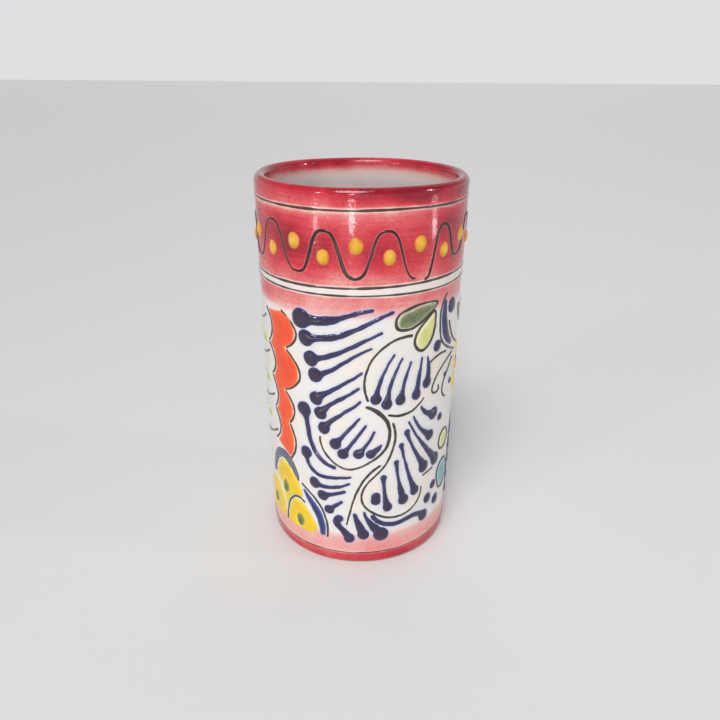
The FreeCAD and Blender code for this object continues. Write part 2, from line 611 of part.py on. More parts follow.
# Leaves: a filled patch of enamel inside a drawn rim.
LEAVES = {
    "dark_leaves": [DARK_LEAF, TOP_LEAF],
    "lime_leaves": [LIME_LEAF, SIDE_LEAF],
    "teal_leaves": [ROUND_LEAF],
}
leaf_rims = []
for label, leaves in LEAVES.items():
    patches = []
    for leaf in both_sides(leaves, BLOSSOM_MIDDLE):
        whole = raised([leaf], LINE_SKIN, closed=True)
        middle = raised([shrunk(leaf, LEAF_RIM)], LINE_SKIN, closed=True)
        leaf_rims.append(without(whole.cut(middle).Solids[0], drawn_lines))
        patches.append(raised([shrunk(leaf, LEAF_RIM + LEAF_GAP)], ENAMEL_SKIN, closed=True))
    group(label, patches)
group("leaf_rims", leaf_rims)

# Blossom: the open flower, sepals and buds.
open_petals = []
for number in range(PETAL_COUNT):
    turn = 2 * math.pi * number / PETAL_COUNT
    places = []
    for reach, half in PETAL:
        places.append((BLOSSOM_MIDDLE + reach * math.sin(turn), HEART_LEVEL + reach * math.cos(turn), half))
    open_petals.append(stroke(places, ENAMEL_SKIN))
group("blossom_petals", open_petals)
group("blossom_heart", [oval(BLOSSOM_MIDDLE, HEART_LEVEL, HEART_RADIUS, HEART_RADIUS, DOT_SKIN)])

sepals = []
for sepal in both_sides([SEPAL], BLOSSOM_MIDDLE):
    sepals.append(without(stroke(sepal, STROKE_SKIN), blossom_lines))
group("blue_sepals", sepals)
buds = []
for s, z, radius in [SEPAL_BUD, TOP_BUD] + mirrored([SEPAL_BUD], BLOSSOM_MIDDLE):
    buds.append(without(oval(s, z, radius, radius, STROKE_SKIN), sepals))
group("blue_buds", buds)


# Flower: petals between the inner and outer scallops, the scallops' drawn lines, lattice and seeds.
def lobes(scallops):
    """The three-point arcs from notch to notch."""
    return [scallops[start:start + 3] for start in range(0, len(scallops) - 2, 2)]


def clear_of_notches(arc):
    """The same arc with its ends drawn back, so that the lines of two lobes don't run into each other."""
    top, tip, foot = arc
    return [(top[0], top[1] - NOTCH_GAP), tip, (foot[0], foot[1] + NOTCH_GAP)]


scallop_lines = []
for scallops in both_sides([OUTER_SCALLOPS, INNER_SCALLOPS], FLOWER_MIDDLE):
    for arc in lobes(scallops):
        scallop_lines.append(line(clear_of_notches(arc), HALF_LINE, LINE_SKIN))
group("scallop_lines", scallop_lines)

petals = []
sides = zip(both_sides([OUTER_SCALLOPS], FLOWER_MIDDLE), both_sides([INNER_SCALLOPS], FLOWER_MIDDLE))
for outside, inside in sides:
    down = lobes(outside)
    up = [arc[::-1] for arc in lobes(inside)[::-1]]
    band = down + [[outside[-1], inside[-1]]] + up + [[inside[0], outside[0]]]
    petals.append(raised(band, ENAMEL_SKIN, inset=RIM_GAP))
group("orange_petals", petals)

lattice_lines = []
for points in LATTICE:
    whole = points + mirrored(points, FLOWER_MIDDLE)[-2::-1]
    lattice_lines.append(without(line(whole, HALF_LINE, LINE_SKIN), scallop_lines))
group("lattice_lines", lattice_lines)
seeds = []
for level in SEED_ROWS:
    for place in SEED_COLUMNS:
        for s in (place, 2 * FLOWER_MIDDLE - place):
            seeds.append(oval(s, level, SEED_ACROSS, SEED_UP, ENAMEL_SKIN))
group("green_seeds", seeds)

# Scales at the foot of the flower, on both of its sides.
border_solids, crescents, scale_lines = [], [], []
for points in both_sides(SCALE_LINES, FLOWER_MIDDLE):
    scale_lines.append(without(line(points, HALF_LINE, LINE_SKIN), scale_lines))
for points in both_sides([SCALE_BORDER], FLOWER_MIDDLE):
    border_solids.append(without(stroke(points, ENAMEL_SKIN), scale_lines + border_solids + scallop_lines))
for points in both_sides([CRESCENT], FLOWER_MIDDLE):
    crescents.append(without(stroke(points, STROKE_SKIN), scale_lines + border_solids))
group("scale_lines", scale_lines)
group("scale_borders", border_solids)
group("blue_crescents", crescents)

eyes = []
for s, z in EYES + mirrored(EYES, FLOWER_MIDDLE) + [MIDDLE_EYE]:
    eyes.append(oval(s, z, EYE_ACROSS, EYE_UP, DOT_SKIN))
group("scale_eyes", eyes)
scales = []
for points in both_sides(SCALES, FLOWER_MIDDLE) + [MIDDLE_SCALE]:
    patch = raised([points], ENAMEL_SKIN, closed=True)
    scales.append(without(patch, eyes + scale_lines + border_solids + scales))
group("yellow_scales", scales)

# ---------------------------------------------------------------- check and write


doc.recompute()
for item in doc.Objects:
    if "Invalid" in item.State or "Error" in item.State:
        raise RuntimeError(f"{item.Label} did not compute: {item.State}")
for piece in pieces:
    if piece.Shape.isNull() or not piece.Shape.isValid():
        raise RuntimeError(f"{piece.Label} has no valid shape")

os.makedirs("parts", exist_ok=True)
for piece in pieces:
    piece.Shape.exportStep(f"parts/{piece.Label}.step")
    print(f"{piece.Label}: {len(piece.Shape.Solids)} solid(s), {piece.Shape.Volume / 1000:.2f} cm3")
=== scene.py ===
"""Looks for the hand-painted talavera vase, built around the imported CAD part.

Lengths are in millimetres until a mesh is made. A place on the outside wall is (s, z): s is the distance
round the wall from the front towards +X, taken at the mean radius, and z is the height.
"""
import bpy
import math
import numpy as np
from mathutils import Matrix, Vector
from mathutils.geometry import delaunay_2d_cdt
from mathutils.kdtree import KDTree


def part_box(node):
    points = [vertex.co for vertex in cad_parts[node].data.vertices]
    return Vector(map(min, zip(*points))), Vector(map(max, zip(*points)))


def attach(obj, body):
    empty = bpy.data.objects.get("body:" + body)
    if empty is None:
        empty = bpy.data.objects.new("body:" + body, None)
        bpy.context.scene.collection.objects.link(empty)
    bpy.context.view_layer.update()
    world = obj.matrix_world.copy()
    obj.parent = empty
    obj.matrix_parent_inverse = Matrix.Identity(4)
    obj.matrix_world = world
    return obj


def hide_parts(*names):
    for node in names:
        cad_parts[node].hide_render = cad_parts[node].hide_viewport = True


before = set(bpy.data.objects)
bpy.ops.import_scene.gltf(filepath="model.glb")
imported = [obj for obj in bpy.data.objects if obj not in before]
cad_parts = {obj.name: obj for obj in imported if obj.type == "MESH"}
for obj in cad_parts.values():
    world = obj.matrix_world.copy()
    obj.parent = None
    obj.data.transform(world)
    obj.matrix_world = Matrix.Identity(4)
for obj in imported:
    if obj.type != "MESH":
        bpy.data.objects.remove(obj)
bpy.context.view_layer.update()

MM = 0.001
BODY = "root"


# ---------------------------------------------------------------- the pot's own form


def rim_of(node):
    """(radius, height) in mm of a turned node's top circle."""
    low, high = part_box(node)
    return high.x / MM, high.z / MM


panel_radius, PANEL_TOP = rim_of("white_panel")
foot_radius, FOOT_BAND_TOP = rim_of("foot_band")
FLARE = (panel_radius - foot_radius) / (PANEL_TOP - FOOT_BAND_TOP)
BASE_RADIUS = foot_radius - FLARE * FOOT_BAND_TOP
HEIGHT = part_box("lip_glaze")[1].z / MM
MEAN_RADIUS = BASE_RADIUS + FLARE * HEIGHT / 2
ROUND = 2 * math.pi * MEAN_RADIUS
GLAZE_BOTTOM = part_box("foot_band")[0].z / MM
LOWER_PINK_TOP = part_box("lower_pink_band")[1].z / MM
PINK_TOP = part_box("upper_pink_band")[1].z / MM
STRIPE_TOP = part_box("cream_stripe")[1].z / MM
RED_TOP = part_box("red_band")[1].z / MM
INSIDE_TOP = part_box("inside_glaze")[1].z / MM

# The floor of the hollow and the round corner about it. It is glazed like a level far past the rim.
FLOOR_TOP = 9.0
FLOOR_CORNER = 6.0
FLOOR_LEVEL = 380.0

# How thick the CAD's glaze is, how thick the coats drawn here are, and how deep raised work is set in.
CAD_GLAZE = 0.5
COAT = 0.42
BURIED = 0.15

# The wall's thickness, half of it for the round top of the rim, and how far down the rim starts to round.
WALL = BASE_RADIUS + FLARE * INSIDE_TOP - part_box("inside_glaze")[1].x / MM + CAD_GLAZE
LIP_ROUND = WALL / 2
LIP_RISE = 3.4


def wobble(s, z):
    """How far the thrown wall stands off a true cone: slightly out of round, with soft throwing rings."""
    a = s / MEAN_RADIUS
    out_of_round = 0.13 * np.sin(2 * a + 0.7) + 0.07 * np.sin(3 * a - z / 45)
    rings = 0.035 * np.sin(z / 3.1 + 1.3 * np.sin(a)) + 0.03 * np.sin(z / 7.3 - 1.7 * np.cos(a))
    dents = 0.04 * np.sin(7 * a + z / 11) * np.sin(5 * a - z / 17)
    return out_of_round + rings + dents


def wall_radius(s, z):
    """Radius of the outside wall."""
    return BASE_RADIUS + FLARE * z + wobble(s, z)


def wall_places(s, z, rise):
    """Places in metres that stand the given rise off the outside wall."""
    angle = s / MEAN_RADIUS
    radius = wall_radius(s, z) + rise
    return np.stack([radius * np.sin(angle), -radius * np.cos(angle), z], axis=-1) * MM


# The four turned lines wander a little, and the bands of colour follow them.
LINES = {
    "foot_line": (FOOT_BAND_TOP, lambda a: 0.45 * np.sin(a - 0.9) + 0.12 * np.sin(3 * a), 0.36),
    "line_below_stripe": (PINK_TOP, lambda a: 0.25 * np.sin(a + 0.4) + 0.10 * np.sin(4 * a + 1), 0.42),
    "line_above_stripe": (STRIPE_TOP, lambda a: 0.85 * np.sin(a - 0.1) + 0.10 * np.sin(3 * a), 0.52),
    "line_under_lip": (RED_TOP, lambda a: 0.25 * np.sin(2 * a + 0.5) + 0.10 * np.sin(5 * a), 0.50),
}


def drift(s, z):
    """How far the bands of colour are shifted up at (s, z)."""
    a = s / MEAN_RADIUS
    heights = [line[0] for line in LINES.values()]
    shifts = [line[1](a) + np.zeros_like(z) for line in LINES.values()]
    result = shifts[0].copy()
    for low in range(len(heights) - 1):
        share = np.clip((z - heights[low]) / (heights[low + 1] - heights[low]), 0, 1)
        result += share * (shifts[low + 1] - shifts[low])
    return result


# ---------------------------------------------------------------- meshes

# Edges sharper than this stay crisp.
SHARPEST_SMOOTH = math.radians(48)


def add_piece(name, vertices, faces, attributes, material, nodes):
    """A smooth mesh piece on the vase's body, standing for CAD nodes."""
    mesh = bpy.data.meshes.new(name)
    mesh.from_pydata(np.asarray(vertices).tolist(), [], faces)
    mesh.validate()
    for key, values in attributes.items():
        layer = mesh.attributes.new(key, "FLOAT", "POINT")
        layer.data.foreach_set("value", np.asarray(values, np.float32))
    mesh.shade_smooth()
    mesh.set_sharp_from_angle(angle=SHARPEST_SMOOTH)
    mesh.materials.append(material)
    piece = bpy.data.objects.new(name, mesh)
    bpy.context.scene.collection.objects.link(piece)
    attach(piece, BODY)
    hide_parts(*nodes)


def ring_faces(rows, columns):
    """Quads of a grid that is closed both round its columns and round its rows."""
    row = np.arange(rows)[:, None]
    column = np.arange(columns)[None, :]
    above = (row + 1) % rows
    beside = (column + 1) % columns
    corners = ((row, column), (row, beside), (above, beside), (above, column))
    quads = [at_row * columns + at_column for at_row, at_column in corners]
    return np.stack(quads, axis=-1).reshape(-1, 4).tolist()


# ---------------------------------------------------------------- outlines read from the frame


def chained(edges):
    """Closed loops of vertex numbers from directed edges."""
    following = dict(edges)
    loops = []
    while following:
        first, here = following.popitem()
        loop = [first]
        while here != first:
            loop.append(here)
            here = following.pop(here)
        loops.append(loop)
    return loops


def drawn_shapes(node):
    """The raised shapes of a CAD node: for each, its outline loops in (s, z), the outer one first."""
    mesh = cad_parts[node].data
    mesh.calc_loop_triangles()
    places = np.array([vertex.co for vertex in mesh.vertices]) / MM
    triangles = np.array([triangle.vertices[:] for triangle in mesh.loop_triangles])
    places, welded = np.unique(np.round(places, 3), axis=0, return_inverse=True)
    triangles = welded.reshape(-1)[triangles]
    rise = np.hypot(places[:, 0], places[:, 1]) - BASE_RADIUS - FLARE * places[:, 2]
    faced = triangles[(rise[triangles] > 0.5 * rise.max()).all(axis=1)]
    faced = faced[(faced != np.roll(faced, 1, axis=1)).all(axis=1)]
    edges = set()
    for a, b, c in faced.tolist():
        edges.update([(a, b), (b, c), (c, a)])
    border = sorted(edge for edge in edges if edge[::-1] not in edges)
    outers, holes = [], []
    for loop in chained(border):
        angle = np.unwrap(np.arctan2(places[loop, 0], -places[loop, 1]))
        angle -= 2 * math.pi * round(angle.mean() / (2 * math.pi))
        flat = np.stack([angle * MEAN_RADIUS, places[loop, 2]], axis=1)
        (outers if signed_area(flat) > 0 else holes).append(flat)
    outers.sort(key=lambda flat: (round(flat[:, 0].mean(), 2), round(flat[:, 1].mean(), 2)))
    shapes = []
    for outer in outers:
        inside = [hole for hole in holes if within(hole[:1], [outer])[0]]
        shapes.append([outer] + inside)
    return shapes


def signed_area(loop):
    """Area of a closed outline, negative where it runs clockwise."""
    x, y = loop[:, 0], loop[:, 1]
    return 0.5 * np.sum(x * np.roll(y, -1) - y * np.roll(x, -1))


def within(points, loops):
    """Which points are inside the outline, holes left out."""
    inside = np.zeros(len(points), bool)
    x, y = points[:, 0][:, None], points[:, 1][:, None]
    for loop in loops:
        x1, y1 = loop[:, 0][None], loop[:, 1][None]
        x2, y2 = np.roll(loop[:, 0], -1)[None], np.roll(loop[:, 1], -1)[None]
        across = (y1 > y) != (y2 > y)
        rise = np.where(y2 == y1, 1e-9, y2 - y1)
        hits = across & (x < (x2 - x1) * (y - y1) / rise + x1)
        inside ^= (hits.sum(axis=1) % 2).astype(bool)
    return inside


def distance_to(points, loops):
    """Distance from each point to the nearest outline."""
    best = np.full(len(points), np.inf)
    for loop in loops:
        start, run = loop, np.roll(loop, -1, axis=0) - loop
        length = np.maximum((run ** 2).sum(axis=1), 1e-12)
        for low in range(0, len(points), 4000):
            part = points[low:low + 4000]
            away = part[:, None] - start[None]
            share = np.clip((away * run[None]).sum(axis=2) / length[None], 0, 1)
            gap = np.hypot(*np.moveaxis(away - share[..., None] * run[None], 2, 0))
            best[low:low + 4000] = np.minimum(best[low:low + 4000], gap.min(axis=1))
    return best


OUTLINE_STEP = 0.3
FEWEST_STEPS = 12

# The waves of an uneven hand along an outline: (length in mm, strength).
HAND_WAVES = ((2.6, 0.35), (4.3, 0.7), (7.1, 1.0), (12.0, 1.0))


def hand_drawn(loop, rough, grown, draw):
    """The outline evenly redrawn, softened, grown a little, and made uneven as a hand trails it."""
    closed = np.vstack([loop, loop[:1]])
    along = np.concatenate([[0], np.cumsum(np.hypot(*np.diff(closed, axis=0).T))])
    total = along[-1]
    count = max(FEWEST_STEPS, int(total / OUTLINE_STEP))
    marks = np.linspace(0, total, count, endpoint=False)
    even = np.stack([np.interp(marks, along, side) for side in closed.T], axis=1)
    for _ in range(2):
        even = 0.5 * even + 0.25 * (np.roll(even, 1, axis=0) + np.roll(even, -1, axis=0))
    run = np.roll(even, -1, axis=0) - np.roll(even, 1, axis=0)
    normal = np.stack([run[:, 1], -run[:, 0]], axis=1) / np.hypot(*run.T)[:, None]
    shake = np.zeros(count)
    for wave, share in HAND_WAVES:
        turns = max(1, round(total / wave))
        strength = share * draw.uniform(0.5, 1.0)
        shake += strength * np.sin(2 * math.pi * turns * marks / total + draw.uniform(0, 6.28))
    return even + normal * (grown + rough * shake / 2)[:, None]


def pillow(name, shapes, form, material, nodes, seed):
    """Raised enamel inside outlines: closed solids that swell from the edge to a height over a shoulder."""
    height, shoulder, spacing, rough, grown = form
    draw = np.random.default_rng(seed)
    vertices, faces, rims = [], [], []
    finished = []
    count = 0
    for shape in shapes:
        loops = [hand_drawn(loop, rough, grown, draw) for loop in shape]
        finished.append(loops)
        flat, triangles = filled(loops, spacing)
        rim = distance_to(flat, loops)
        swell = np.clip(rim / shoulder, 0, 1)
        lift = height * draw.uniform(0.92, 1.06) * (2 * swell - swell ** 2)
        top = wall_places(flat[:, 0], flat[:, 1], lift)
        under = wall_places(flat[:, 0], flat[:, 1], np.full(len(flat), -BURIED))
        sides = []
        directed = {(t[i], t[(i + 1) % 3]) for t in triangles for i in range(3)}
        for a, b in sorted(directed):
            if (b, a) not in directed:
                sides.append((b, a, a + len(flat), b + len(flat)))
        vertices += [top, under]
        faces += [tuple(count + v for v in t) for t in triangles]
        faces += [tuple(count + len(flat) + v for v in t[::-1]) for t in triangles]
        faces += [tuple(count + v for v in side) for side in sides]
        rims += [rim, np.zeros(len(flat))]
        count += 2 * len(flat)
    add_piece(name, np.vstack(vertices), faces, {"rim": np.concatenate(rims)}, material, nodes)
    return finished


def filled(loops, spacing):
    """A fine triangle mesh inside an outline: its points, and its triangles facing outwards."""
    low = loops[0].min(axis=0)
    high = loops[0].max(axis=0)
    rows = np.arange(low[1], high[1], spacing * math.sqrt(3) / 2)
    grid = []
    for number, level in enumerate(rows):
        line = np.arange(low[0] + (number % 2) * spacing / 2, high[0], spacing)
        grid.append(np.stack([line, np.full(len(line), level)], axis=1))
    grid = np.vstack(grid)
    grid = grid[within(grid, loops)]
    grid = grid[distance_to(grid, loops) > 0.45 * spacing] if len(grid) else grid
    points, edges = [], []
    for loop in loops:
        first = len(points)
        points += [Vector(place) for place in loop]
        edges += [(first + i, first + (i + 1) % len(loop)) for i in range(len(loop))]
    points += [Vector(place) for place in grid]
    made = delaunay_2d_cdt(points, edges, [], 1, 1e-5)
    flat = np.array([place[:] for place in made[0]])
    triangles = np.array([triangle[:] for triangle in made[2]])
    corner = flat[triangles]
    turn = np.cross(corner[:, 1] - corner[:, 0], corner[:, 2] - corner[:, 0])
    triangles[turn < 0] = triangles[turn < 0][:, ::-1]
    keep = within(corner.mean(axis=1), loops) & (np.abs(turn) > 1e-9)
    return flat, [tuple(t) for t in triangles[keep].tolist()]


# ---------------------------------------------------------------- materials


def tone(code):
    """A colour from its screen code, as linear light."""
    values = [int(code[i:i + 2], 16) / 255 for i in (1, 3, 5)]
    linear = [v / 12.92 if v <= 0.04045 else ((v + 0.055) / 1.055) ** 2.4 for v in values]
    return (*linear, 1.0)


class Paint:
    """A material being built, with short calls for its nodes."""

    def __init__(self, name, roughness=0.12, coat=0.2):
        self.material = bpy.data.materials.new(name)
        self.material.use_nodes = True
        self.tree = self.material.node_tree
        self.shader = self.tree.nodes["Principled BSDF"]
        self.shader.inputs["Roughness"].default_value = roughness
        self.shader.inputs["IOR"].default_value = 1.42
        self.shader.inputs["Coat Weight"].default_value = coat
        self.shader.inputs["Coat Roughness"].default_value = 0.04
        self.place = self.node("ShaderNodeTexCoord").outputs["Object"]

    def node(self, kind, **settings):
        made = self.tree.nodes.new(kind)
        for key, value in settings.items():
            setattr(made, key, value)
        return made

    def put(self, socket, value):
        """Link an output to an input, or set the input to a number."""
        if isinstance(value, bpy.types.NodeSocket):
            self.tree.links.new(value, socket)
        else:
            socket.default_value = value

    def attribute(self, name):
        return self.node("ShaderNodeAttribute", attribute_name=name).outputs["Fac"]

    def math(self, operation, first, second=0.0, clamp=False):
        made = self.node("ShaderNodeMath", operation=operation, use_clamp=clamp)
        self.put(made.inputs[0], first)
        self.put(made.inputs[1], second)
        return made.outputs[0]

    def noise(self, size, detail=2.0, stretch=(1, 1, 1)):
        """Noise whose features are about size millimetres, stretched along the axes."""
        mapping = self.node("ShaderNodeMapping")
        self.put(mapping.inputs["Vector"], self.place)
        self.put(mapping.inputs["Scale"], [1 / (size * MM * along) for along in stretch])
        made = self.node("ShaderNodeTexNoise")
        self.put(made.inputs["Vector"], mapping.outputs[0])
        self.put(made.inputs["Scale"], 1.0)
        self.put(made.inputs["Detail"], detail)
        return made.outputs["Fac"]

    def spread(self, value, low, high, start=0.0, end=1.0):
        """Maps low..high to start..end, clamped."""
        made = self.node("ShaderNodeMapRange")
        self.put(made.inputs["Value"], value)
        self.put(made.inputs["From Min"], low)
        self.put(made.inputs["From Max"], high)
        self.put(made.inputs["To Min"], start)
        self.put(made.inputs["To Max"], end)
        return made.outputs[0]

    def vary(self, noise, least, most):
        """Noise mapped so that its usual values run from least to most."""
        return self.spread(noise, 0.3, 0.7, least, most)

    def ramp(self, value, stops, low=0.0, high=1.0):
        """A colour ramp over low..high; stops are (place, colour code) or (place, grey number)."""
        made = self.node("ShaderNodeValToRGB")
        elements = made.color_ramp.elements
        while len(elements) < len(stops):
            elements.new(1.0)
        for element, (place, colour) in zip(elements, stops):
            element.position = (place - low) / (high - low)
            element.color = tone(colour) if isinstance(colour, str) else (colour, colour, colour, 1.0)
        self.put(made.inputs["Fac"], self.spread(value, low, high))
        return made.outputs["Color"]

    def mix(self, share, first, second):
        made = self.node("ShaderNodeMix", data_type="RGBA")
        self.put(made.inputs[0], share)
        for socket, value in ((made.inputs[6], first), (made.inputs[7], second)):
            self.put(socket, tone(value) if isinstance(value, str) else value)
        return made.outputs[2]

    def bump(self, height, depth):
        """Small relief, depth in millimetres for a height going from 0 to 1."""
        made = self.node("ShaderNodeBump")
        self.put(made.inputs["Strength"], 1.0)
        self.put(made.inputs["Distance"], depth * MM)
        self.put(made.inputs["Height"], height)
        self.put(self.shader.inputs["Normal"], made.outputs[0])

    def finish(self, colour, roughness=None):
        self.put(self.shader.inputs["Base Color"], colour)
        if roughness is not None:
            self.put(self.shader.inputs["Roughness"], roughness)
        return self.material


# How strong the red pigment is at each height; past the rim the level goes on down the inside.
FOOT_PIGMENT = [
    (0.0, 0.84), (4.0, 0.78), (5.8, 0.68), (6.2, 0.34), (7.0, 0.24), (7.7, 0.35), (12.0, 0.34),
    (15.5, 0.29), (18.6, 0.0), (30.0, 0.0),
]
TOP_PIGMENT = [
    (120.0, 0.0), (124.4, 0.0), (127.0, 0.30), (130.0, 0.42), (134.4, 0.46), (134.9, 0.14),
    (136.0, 0.05), (138.4, 0.04), (139.6, 0.18), (140.4, 0.52), (143.5, 0.62), (147.5, 0.78),
    (155.0, 0.83), (162.0, 0.81), (166.0, 0.72), (168.2, 0.58), (169.1, 0.30), (170.4, 0.28),
    (171.1, 0.68), (173.2, 0.80), (176.5, 0.88), (178.5, 0.92), (180.2, 0.84), (181.8, 0.58),
    (184.0, 0.24), (187.0, 0.07), (190.0, 0.0),
]
PIGMENT_TONES = [
    (0.0, "#E4E1DE"), (0.12, "#ECD6D0"), (0.3, "#E8ABA5"), (0.44, "#E0827F"), (0.58, "#D8575B"),
    (0.72, "#CC3843"), (0.86, "#B62034"), (1.0, "#8C1727"),
]


def band_glaze(name):
    """The outer glaze: pigment brushed on in bands while the pot turned, over a white tin glaze."""
    paint = Paint(name, roughness=0.1, coat=0.2)
    level = paint.attribute("level")
    cloud = paint.noise(16, detail=3)
    turned = paint.noise(1.6, detail=3, stretch=(16, 16, 0.6))
    ragged = paint.noise(5, detail=3, stretch=(1.6, 1.6, 1))

    # The pigment at this height, its edges a little ragged.
    edge = paint.math("MULTIPLY", paint.vary(ragged, -1.0, 1.0), 0.22)
    shifted = paint.math("ADD", level, edge)
    pigment = 0.0
    for stops in (FOOT_PIGMENT, TOP_PIGMENT):
        pigment = paint.math("ADD", pigment, paint.ramp(shifted, stops, stops[0][0], stops[-1][0]))

    # Brush streaks, grain and clouds make it thicker and thinner. Patches set per place deepen or pale it:
    # partly uneven brushing, partly painted shade towards the sides and a painted highlight at the front.
    streak = paint.vary(turned, -0.04, 0.03)
    grain = paint.vary(paint.noise(1.1, detail=4), -0.05, 0.05)
    patch = paint.math("ADD", streak, grain)
    patch = paint.math("ADD", patch, paint.spread(cloud, 0.32, 0.68, -0.12, 0.09))
    # Patches that are partly uneven brushing and partly painted shade and painted highlight.
    patch = paint.math("ADD", patch, paint.attribute("brushing_shade_highlight"))
    amount = paint.math("MULTIPLY", patch, paint.spread(pigment, 0.15, 0.5, 0.0, 1.0))
    strength = paint.math("ADD", pigment, amount, clamp=True)
    colour = paint.ramp(strength, PIGMENT_TONES)

    # The white is warmer in places.
    warm = paint.spread(paint.noise(13, detail=2), 0.45, 0.68, 0.0, 0.75)
    bare = paint.spread(strength, 0.0, 0.1, 1.0, 0.0)
    colour = paint.mix(paint.math("MULTIPLY", warm, bare), colour, "#EBDFCE")

    # Cobalt bleeds into the glaze beside it, and the glaze draws back from the dark lines.
    blue = paint.spread(paint.attribute("to_cobalt"), 0.0, 1.5, 0.5, 0.0)
    blue = paint.math("MULTIPLY", blue, paint.vary(paint.noise(3, detail=2), 0.35, 1.0))
    colour = paint.mix(blue, colour, "#AEB4D6")
    pale = paint.spread(paint.attribute("to_line"), 0.1, 0.5, 0.14, 0.0)
    colour = paint.mix(pale, colour, "#F0E0D8")
    speck = paint.spread(paint.noise(0.7, detail=1), 0.72, 0.8, 0.0, 0.18)
    colour = paint.mix(speck, colour, "#8C7F78")

    # Past the rim it turns into the greyer glaze of the inside.
    inside = paint.spread(level, 183.0, 190.0, 0.0, 0.9)
    grey = paint.ramp(paint.noise(14, detail=3), [(0.3, "#C6B9B7"), (0.7, "#D3C8C5")])
    colour = paint.mix(inside, colour, grey)

    pits = paint.spread(paint.noise(0.9, detail=2), 0.3, 0.42, -0.25, 0.0)
    relief = paint.math("ADD", paint.noise(4.2, detail=3), paint.math("MULTIPLY", turned, 0.3))
    paint.bump(paint.math("ADD", relief, pits), 0.13)
    return paint.finish(colour, paint.vary(paint.noise(6, detail=2), 0.06, 0.17))


def enamel(name, stops, cloud_tone, cloud_share, relief=0.02):
    """Thick glossy enamel whose colour deepens away from its edge."""
    paint = Paint(name)
    rim = paint.attribute("rim")
    uneven = paint.math("MULTIPLY", paint.vary(paint.noise(1.6, detail=2), -1.0, 1.0), 0.16)
    deep = paint.math("MULTIPLY", uneven, paint.spread(rim, 0.1, 0.6, 0.0, 1.0))
    colour = paint.ramp(paint.math("ADD", rim, deep), stops, 0.0, stops[-1][0])
    cloud = paint.spread(paint.noise(4.5, detail=3), 0.42, 0.7, 0.0, cloud_share)
    colour = paint.mix(cloud, colour, cloud_tone)
    paint.bump(paint.noise(1.8, detail=2), relief)
    return paint.finish(colour, paint.vary(paint.noise(3, detail=2), 0.07, 0.16))


def bare_clay():
    """Low-fired terracotta, seen only under the foot."""
    paint = Paint("bare_clay", roughness=0.85, coat=0.0)
    colour = paint.ramp(paint.noise(4, detail=5), [(0.3, "#A4623F"), (0.55, "#B97850"), (0.75, "#C58A62")])
    grit = paint.spread(paint.noise(0.5, detail=1), 0.66, 0.74, 0.0, 0.6)
    colour = paint.mix(grit, colour, "#6E4630")
    paint.bump(paint.noise(0.9, detail=4), 0.12)
    return paint.finish(colour)


# Each enamel: its material, its colours as (mm from the edge, colour), the colour of the clouds in it, how
# strong they are, and the depth of its relief where that isn't the usual one.
ENAMEL_PAINTS = {
    "cobalt": ("cobalt_enamel", [
        (0.0, "#575F92"), (0.2, "#3D4373"), (0.5, "#33365F"), (0.9, "#302C4C"), (1.5, "#33293D"),
        (2.6, "#3A2B38"), (4.0, "#40303A"),
    ], "#3A3A72", 0.25),
    "sepal": ("dark_blue_enamel", [
        (0.0, "#A3A6B4"), (0.3, "#4A4F74"), (0.8, "#32355F"), (2.0, "#2A2B4A"),
    ], "#3C4272", 0.35),
    "dark": ("dark_line", [(0.0, "#5E564F"), (0.25, "#443D37"), (0.7, "#342D29")], "#5A534B", 0.45),
    "wave": ("wave_line_glaze", [(0.0, "#5A2626"), (0.2, "#381E1E"), (0.6, "#2A1616")], "#442826", 0.4),
    "orange": ("orange_enamel", [
        (0.0, "#F6CCB2"), (0.25, "#F49168"), (0.8, "#F15A28"), (3.0, "#EE4C1A"), (6.0, "#E64415"),
    ], "#F2642F", 0.4),
    "yellow_dot": ("yellow_dot_enamel", [
        (0.0, "#C0441F"), (0.3, "#D0801E"), (0.9, "#DA9A22"), (2.2, "#E2AC2E"), (3.4, "#E8B940"),
    ], "#F0CC5A", 0.5, 0.05),
    "yellow": ("yellow_enamel", [
        (0.0, "#E2C95C"), (0.35, "#F0D22A"), (1.2, "#F2CC12"), (5.0, "#ECC008"),
    ], "#E2B20C", 0.4),
    "eye": ("green_eye_enamel", [
        (0.0, "#C2AC2C"), (0.4, "#8F9440"), (1.0, "#62794A"), (2.5, "#557048"),
    ], "#4C6552", 0.35),
    "grey_blue": ("grey_blue_enamel", [
        (0.0, "#3E3F4A"), (0.35, "#4A4D60"), (0.7, "#6E7288"), (1.3, "#646A86"), (1.7, "#3B3F58"),
        (2.1, "#5B607C"), (2.6, "#70758C"),
    ], "#7C8092", 0.35),
    "royal": ("royal_blue_enamel", [
        (0.0, "#8C93B4"), (0.3, "#515C92"), (0.8, "#343F83"), (1.6, "#2A2F63"), (2.4, "#2A2A4C"),
    ], "#3D478C", 0.4),
    "dark_green": ("dark_green_enamel", [
        (0.0, "#E2E2D0"), (0.4, "#B0B596"), (0.9, "#7F8863"), (2.0, "#66704C"), (3.5, "#5D6846"),
    ], "#8D946E", 0.6),
    "lime": ("lime_enamel", [
        (0.0, "#F4F1DC"), (0.4, "#E9E5B0"), (1.1, "#D6D584"), (3.5, "#CFD077"),
    ], "#E2DE9E", 0.6),
    "seed": ("seed_enamel", [
        (0.0, "#DDE2B4"), (0.5, "#B7C956"), (1.6, "#A3BC3C"), (2.6, "#9AB436"),
    ], "#C2CF6A", 0.4),
    "teal": ("teal_enamel", [
        (0.0, "#D3E2E4"), (0.4, "#98BFC6"), (1.4, "#6FA4B0"), (5.0, "#5C97A5"),
    ], "#86B4BC", 0.5),
}
materials = {key: enamel(*paint) for key, paint in ENAMEL_PAINTS.items()}
glaze = band_glaze("band_glaze")


# ---------------------------------------------------------------- the glazed pot

# How far past the seam behind the pot the drawing is followed, in mm.
SEAM_MARGIN = 5.0


